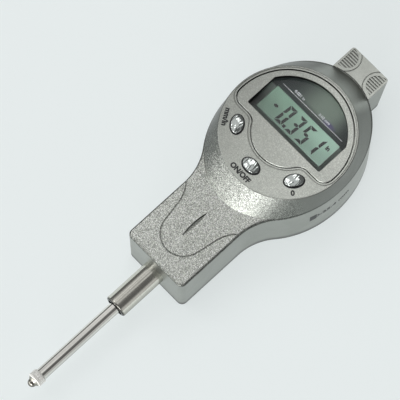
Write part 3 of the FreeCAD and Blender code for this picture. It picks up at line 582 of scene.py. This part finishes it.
finishes = {
    "body_paint": paintFinish("bodyPaint", 6200.0, 0.19, 0.36, 0.35, zoned=True),
    "panel_paint": paintFinish("panelPaint", 3700.0, 0.06, 0.38, 0.36),
    "cap_paint": paintFinish("capPaint", 3600.0, 0.06, 0.38, 0.3, zoned=True),
    "rear_paint": plainFinish("rearPaint", (0.34, 0.345, 0.33), (0.29, 0.295, 0.28), 0.48, 0.7, 2200.0, 0.05),
    "window": lensFinish("clearLens"),
    "mask_print": maskFinish("smokedPrintAndReflection"),
    "lcd": displayFinish("displayGlass"),
    "holder_plastic": plainFinish("holderPlastic", (0.02, 0.021, 0.022), (0.03, 0.031, 0.032), 0.5),
    "elastomer": plainFinish("stripedElastomer", (0.06, 0.06, 0.065), (0.35, 0.33, 0.3), 0.7, 0.0, 6000.0),
    "board": boardFinish("solderMask"),
    "chip_plastic": plainFinish("chipEpoxy", (0.012, 0.012, 0.013), (0.02, 0.02, 0.021), 0.55, 0.0, 5000.0),
    "crystal_can": turnedFinish("crystalCan", (0.62, 0.62, 0.6), (0.5, 0.5, 0.49), 0.22),
    "switch_plastic": plainFinish("switchPlastic", (0.05, 0.05, 0.055), (0.09, 0.09, 0.09), 0.45),
    "button_chrome": chromeFinish("buttonChrome"),
    "fastener_steel": turnedFinish("fastenerSteel", (0.42, 0.42, 0.41), (0.3, 0.3, 0.3), 0.3, 5000.0),
    "chassis_alloy": plainFinish("castAlloy", (0.42, 0.42, 0.42), (0.32, 0.32, 0.33), 0.5, 0.9, 1500.0, 0.08),
    "stem_steel": turnedFinish("groundStem", (0.78, 0.77, 0.70), (0.62, 0.61, 0.55), 0.15,
                               mouthShadeFrom=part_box("stem")[0].y, underShade=0.45),
    "spindle_steel": turnedFinish("polishedSpindle", (0.98, 0.97, 0.92), (0.78, 0.77, 0.72), 0.09, 4200.0,
                                  underShade=0.45),
    "point_steel": pointFinish("pointSteel"),
    "bushing_bronze": turnedFinish("bushingBronze", (0.55, 0.36, 0.18), (0.42, 0.26, 0.12), 0.35),
    "wiper_rubber": plainFinish("wiperRubber", (0.02, 0.02, 0.02), (0.035, 0.035, 0.035), 0.75),
    "scale_board": boardFinish("scaleBoard"),
    "spring_wire": turnedFinish("springWire", (0.55, 0.54, 0.52), (0.42, 0.41, 0.4), 0.25, 6000.0),
    "tray_plastic": plainFinish("trayPlastic", (0.09, 0.092, 0.09), (0.12, 0.122, 0.12), 0.5),
    "cell_can": turnedFinish("cellCan", (0.7, 0.7, 0.69), (0.6, 0.6, 0.6), 0.2, 2500.0),
    "contact_plate": turnedFinish("contactPlate", (0.72, 0.64, 0.45), (0.6, 0.52, 0.36), 0.25),
    "connector_plastic": plainFinish("connectorPlastic", (0.55, 0.53, 0.47), (0.62, 0.6, 0.54), 0.5),
}
blackInkAndShade = inkAndShadeFinish("blackInkAndShade", (0.012, 0.013, 0.014))
inkPale = inkAndShadeFinish("inkPale", (0.72, 0.74, 0.76))
lcdSegment = segmentFinish("displaySegment")

for node in nodes.values():
    for slot in node.material_slots:
        slot.material = finishes[slot.material.name.split(".")[0]]
print("finishes given to", len(nodes), "nodes")


# Display digits
digits = {
    "text": "-0.351",
    "width": 3.1 * mm,
    "height": 7.1 * mm,
    "bar": 1.0 * mm,
    "gap": 0.13 * mm,
    "pitch": 4.53 * mm,
    "slope": math.tan(math.radians(5.5)),
    "left": 3.58 * mm,       # first cell from the glass's left edge
    "foot": 1.9 * mm,        # baseline above the glass's lower edge
    "thickness": 0.03 * mm,
    "lift": 0.01 * mm,       # clear of the glass
    "dotSize": 1.05,         # in bar widths
    "dotGap": 0.34 * mm,
    "unit": "in",
    "unitSize": 2.1 * mm,
    "unitPlace": (11.9 * mm, headY + 6.0 * mm),
}
barsOfDigit = {"-": "g", "0": "abcdef", "1": "bc", "3": "abcdg", "5": "acdfg"}


def barOutline(bar):
    w, h, t, g = digits["width"], digits["height"], digits["bar"], digits["gap"]
    mid, half = h / 2, t / 2
    upper = [(g, h), (w - g, h), (w - t - g, h - t), (t + g, h - t)]
    leftUp = [(0, h - g), (t, h - t - g), (t, mid + half + g / 2), (half, mid + g), (0, mid + g)]
    middle = [(half + g, mid), (t + g, mid + half), (w - t - g, mid + half), (w - half - g, mid),
              (w - t - g, mid - half), (t + g, mid - half)]
    shapes = {"a": upper, "f": leftUp, "g": middle}
    shapes["d"] = [(x, h - y) for x, y in upper]
    shapes["b"] = [(w - x, y) for x, y in leftUp]
    shapes["e"] = [(x, h - y) for x, y in leftUp]
    shapes["c"] = [(w - x, h - y) for x, y in leftUp]
    return shapes[bar]


def addPlate(mesh, outline, low, high):
    # A flat plate with straight sides between two heights
    under = [mesh.verts.new((x, y, low)) for x, y in outline]
    over = [mesh.verts.new((x, y, high)) for x, y in outline]
    mesh.faces.new(under)
    mesh.faces.new(over)
    for index in range(len(outline)):
        following = (index + 1) % len(outline)
        mesh.faces.new((under[index], under[following], over[following], over[index]))


def finishPiece(mesh, name, material, body):
    bmesh.ops.recalc_face_normals(mesh, faces=mesh.faces)
    data = bpy.data.meshes.new(name)
    mesh.to_mesh(data)
    mesh.free()
    data.materials.append(material)
    piece = bpy.data.objects.new(name, data)
    bpy.context.scene.collection.objects.link(piece)
    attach(piece, body)
    return piece


def makeDigits():
    mesh = bmesh.new()
    low = glassHigh.z + digits["lift"]
    high = low + digits["thickness"]
    x = glassLow.x + digits["left"]
    y = glassLow.y + digits["foot"]
    for mark in digits["text"]:
        if mark == ".":
            size = digits["bar"] * digits["dotSize"]
            corner = x - digits["pitch"] + digits["width"] + digits["dotGap"]
            square = [(corner, y), (corner + size, y), (corner + size, y + size), (corner, y + size)]
            addPlate(mesh, square, low, high)
            continue
        for bar in barsOfDigit[mark]:
            outline = [(x + px + digits["slope"] * py, y + py) for px, py in barOutline(bar)]
            addPlate(mesh, outline, low, high)
        x += digits["pitch"]
    return finishPiece(mesh, "display_digits", lcdSegment, "housing")


makeDigits()


# Printed marks, and painted shade round the buttons
def makeLabel(name, text, size, place, turn, material, squeeze=1.0, weight=0.0, ink=0.02 * mm):
    curve = bpy.data.curves.new(name, "FONT")
    curve.body = text
    curve.size = size
    curve.align_x = "CENTER"
    curve.align_y = "CENTER"
    curve.extrude = ink / 2
    curve.offset = weight
    label = bpy.data.objects.new(name, curve)
    bpy.context.scene.collection.objects.link(label)
    turned = Matrix.Rotation(math.radians(turn), 4, "Z") @ Matrix.Diagonal((squeeze, 1, 1, 1))
    label.matrix_world = Matrix.Translation(place + Vector((0, 0, ink / 2))) @ turned
    bpy.context.view_layer.update()
    flat = bpy.data.meshes.new_from_object(label)
    flat.transform(label.matrix_world)
    bpy.data.objects.remove(label)
    flat.materials.clear()
    flat.materials.append(material)
    piece = bpy.data.objects.new(name, flat)
    bpy.context.scene.collection.objects.link(piece)
    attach(piece, "housing")
    return piece


labels = {
    "circle": 20.3 * mm,
    "weight": 0.12 * mm,
    # name, text, size, place round the head in degrees, width
    "marks": [
        ("label_mm_in", "mm/in", 2.45 * mm, -58.0, 0.98),
        ("label_on_off", "ON/OFF", 2.4 * mm, -2.0, 0.96),
        ("label_zero", "0", 2.4 * mm, 50.0, 1.0),
    ],
}
for name, text, size, turn, squeeze in labels["marks"]:
    angle = math.radians(turn - 90)
    reach = labels["circle"]
    place = Vector((reach * math.cos(angle), headY + reach * math.sin(angle), faceTop))
    makeLabel(name, text, size, place, turn, blackInkAndShade, squeeze, labels["weight"])

makeLabel("label_unit", digits["unit"], digits["unitSize"],
          Vector((*digits["unitPlace"], glassHigh.z + digits["lift"])), 0, lcdSegment, 0.9, 0.11 * mm)
for name, text, x in dome["prints"]:
    makeLabel(name, text, dome["printSize"], Vector((x, dome["printY"], maskHigh.z + 0.005 * mm)), 0, inkPale,
              1.0, 0.03 * mm)


def makeDomeLine():
    mesh = bmesh.new()
    half, low = dome["lineHalf"], headY + dome["lineFoot"]
    high = low + dome["lineWidth"]
    addPlate(mesh, [(-half, low), (half, low), (half, high), (-half, high)], maskHigh.z, maskHigh.z + 0.02 * mm)
    return finishPiece(mesh, "dome_line", inkPale, "housing")


# Painted shade round each button
buttonGapShade = {
    "halfLong": 3.15 * mm,       # half length and width of a button
    "halfShort": 2.05 * mm,
    "inner": 0.02 * mm,
    "outer": 0.42 * mm,
    "lift": 0.015 * mm,          # clear of the face
    "steps": 48,
    "turns": {"button_mm_in": -52.5, "button_on_off": 0.0, "button_zero": 52.5},
}


def makeButtonGapShade():
    # Painted shade: a dark oval sheet round each button, over the shaded gap
    mesh = bmesh.new()
    steps = buttonGapShade["steps"]
    for name, turn in buttonGapShade["turns"].items():
        low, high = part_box(name)
        centre = (low + high) / 2
        spin = Matrix.Rotation(math.radians(turn), 2)
        rims = []
        for grow in (buttonGapShade["inner"], buttonGapShade["outer"]):
            rim = []
            for step in range(steps):
                angle = 2 * math.pi * step / steps
                corner = spin @ Vector(((buttonGapShade["halfLong"] + grow) * math.cos(angle),
                                        (buttonGapShade["halfShort"] + grow) * math.sin(angle)))
                rim.append(mesh.verts.new((centre.x + corner.x, centre.y + corner.y, faceTop + buttonGapShade["lift"])))
            rims.append(rim)
        for step in range(steps):
            after = (step + 1) % steps
            mesh.faces.new((rims[0][step], rims[0][after], rims[1][after], rims[1][step]))
    return finishPiece(mesh, "button_gap_shade", blackInkAndShade, "housing")


sidePrint = {
    "text": "0-25.4 mm",
    "size": 2.9 * mm,
    "height": 2.6 * mm,          # middle of the print on the wall
    "turn": -4.4,
    "lift": 0.01 * mm,
}
sideBlock = {
    "width": 2.0 * mm,
    "high": 4.0 * mm,
    "thickness": 0.03 * mm,
    "strips": 8,
    "turn": -19.6,
}


def wrapOnWall(piece, startTurn):
    # Bends flat print round the oval wall: x runs round the wall, y runs up it
    halfX, halfY = coverHigh.x, coverHigh.y - headY
    for vertex in piece.data.vertices:
        turn = math.radians(startTurn) + vertex.co.x / halfX
        out = vertex.co.z + sidePrint["lift"]
        x = (halfX + out) * math.cos(turn)
        y = headY + (halfY + out) * math.sin(turn)
        vertex.co = (x, y, sidePrint["height"] + vertex.co.y)


def makeSideBlock():
    # A plain block, in strips so that it bends with the wall
    mesh = bmesh.new()
    half, high, strips = sideBlock["width"] / 2, sideBlock["high"] / 2, sideBlock["strips"]
    across = [half * (2 * step / strips - 1) for step in range(strips + 1)]
    outline = [(x, -high) for x in across] + [(x, high) for x in reversed(across)]
    layers = [[mesh.verts.new((x, y, z)) for x, y in outline] for z in (0, sideBlock["thickness"])]
    under, over = layers
    count = len(outline)
    for index in range(count):
        after = (index + 1) % count
        mesh.faces.new((under[index], under[after], over[after], over[index]))
    for layer in layers:
        for step in range(strips):
            mesh.faces.new((layer[step], layer[step + 1], layer[count - 2 - step], layer[count - 1 - step]))
    return finishPiece(mesh, "label_block", blackInkAndShade, "housing")


makeDomeLine()
makeButtonGapShade()
rangeLabel = makeLabel("label_range", sidePrint["text"], sidePrint["size"], Vector((0, 0, 0)), 0, blackInkAndShade,
                       0.9, 0.06 * mm)
wrapOnWall(rangeLabel, sidePrint["turn"])
wrapOnWall(makeSideBlock(), sideBlock["turn"])
print("display and labels made")


# Floor, light and camera
studio = {
    "floor": 1.6,                # half size
    "floorColour": (0.26, 0.275, 0.275, 1),
    "floorGlow": (0.575, 0.613, 0.613, 1),
    "base": 0.15,
    # direction, cosine where it starts, cosine where it is full, strength
    "lamps": [
        ((-0.41, 0.12, 0.90), 0.80, 0.85, 0.50),
        ((-0.30, 0.48, 0.82), 0.980, 0.988, 2.0),
        ((-0.55, -0.20, 0.81), 0.980, 0.988, 2.0),
        ((0.985, 0.10, 0.09), 0.866, 0.94, 0.45),
        ((-0.70, -0.70, 0.15), 0.93, 0.98, 2.0),
        ((-0.33, -0.93, 0.19), 0.90, 0.97, 3.6),
        ((0.38, -0.91, 0.16), 0.90, 0.97, 8.0),
    ],
    "lens": 270.0,
    "sensor": 36.0,
    "clip": (0.05, 20.0),
    "azimuth": 47.17,
    "elevation": 72.88,
    "distance": 0.9695,
    "roll": -0.64,
    "target": Vector((-9.43 * mm, 28.78 * mm, cadBox[0].z)),
}


def makeFloor():
    mesh = bmesh.new()
    bmesh.ops.create_grid(mesh, x_segments=8, y_segments=8, size=studio["floor"])
    data = bpy.data.meshes.new("floor")
    mesh.to_mesh(data)
    mesh.free()
    floor = bpy.data.objects.new("floor", data)
    floor.location.z = cadBox[0].z
    bpy.context.scene.collection.objects.link(floor)
    material, tree, shader = newMaterial("paleTable")
    cloud = useGroup(tree, handMarks, scale=6.0)["Mask"]
    shade = mapRange(tree, cloud, 0.0, 1.0, 1.0, 1.02)
    drive(tree, shader, baseColor=scaleColour(tree, studio["floorColour"], shade))
    drive(tree, shader, roughness=mapRange(tree, cloud, 0.0, 1.0, 0.46, 0.52))
    shader.inputs["Emission Color"].default_value = studio["floorGlow"]
    shader.inputs["Emission Strength"].default_value = 1.0
    data.materials.append(material)


def makeWorld():
    world = bpy.data.worlds.new("softStudio")
    world.use_nodes = True
    tree = world.node_tree
    background = tree.nodes["Background"]
    direction = addNode(tree, "ShaderNodeTexCoord").outputs["Generated"]
    total = studio["base"]
    for aim, start, full, strength in studio["lamps"]:
        unit = Vector(aim).normalized()
        near = addNode(tree, "ShaderNodeVectorMath", {0: direction, 1: unit}, operation="DOT_PRODUCT")
        glow = mapRange(tree, near.outputs["Value"], start, full, 0.0, strength, smooth=True)
        total = mathNode(tree, "ADD", glow, total)
    tree.links.new(total, background.inputs["Color"])
    bpy.context.scene.world = world


def makeCamera():
    data = bpy.data.cameras.new("camera")
    data.lens = studio["lens"]
    data.sensor_width = studio["sensor"]
    data.clip_start, data.clip_end = studio["clip"]
    camera = bpy.data.objects.new("camera", data)
    bpy.context.scene.collection.objects.link(camera)
    turn, rise = math.radians(studio["azimuth"]), math.radians(studio["elevation"])
    back = Vector((math.sin(turn) * math.cos(rise), -math.cos(turn) * math.cos(rise), math.sin(rise)))
    camera.rotation_mode = "QUATERNION"
    camera.location = studio["target"] + back * studio["distance"]
    aim = (-back).to_track_quat("-Z", "Y")
    camera.rotation_quaternion = aim @ Matrix.Rotation(math.radians(studio["roll"]), 3, "Z").to_quaternion()
    bpy.context.scene.camera = camera


makeFloor()
makeWorld()
makeCamera()
bpy.context.scene.view_settings.view_transform = "Standard"
print("floor, light and camera made")
